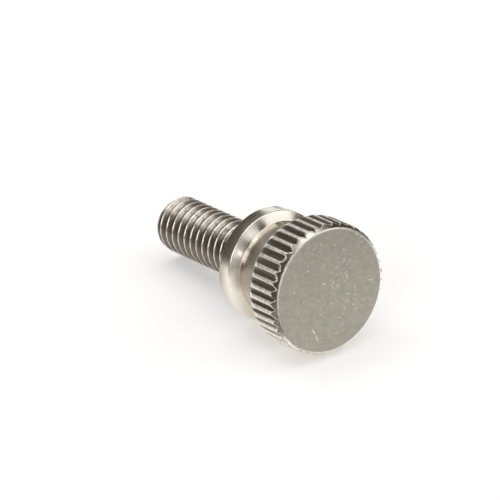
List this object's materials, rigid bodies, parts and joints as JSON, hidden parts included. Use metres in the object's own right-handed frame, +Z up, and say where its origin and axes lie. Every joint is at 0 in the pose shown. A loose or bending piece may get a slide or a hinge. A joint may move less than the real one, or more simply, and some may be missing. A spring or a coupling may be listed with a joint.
{
  "type": "thumb screw",
  "caption": "Nickel-plated thumb screw with a straight-knurled flat head, a plain neck, a coned collar and a threaded shank.",
  "frame": {"origin": "middle of the screw's box, on the surface that it lies on", "axes": "+Z up; the screw lies along X, tip towards -X, with its head towards +X"},
  "size_m": [0.0222, 0.011, 0.0113],
  "materials": {
    "nickel": "satin nickel plate on metal"
  },
  "bodies": {
    "root": {"thumb_screw": "nickel"}
  },
  "joints": []
}
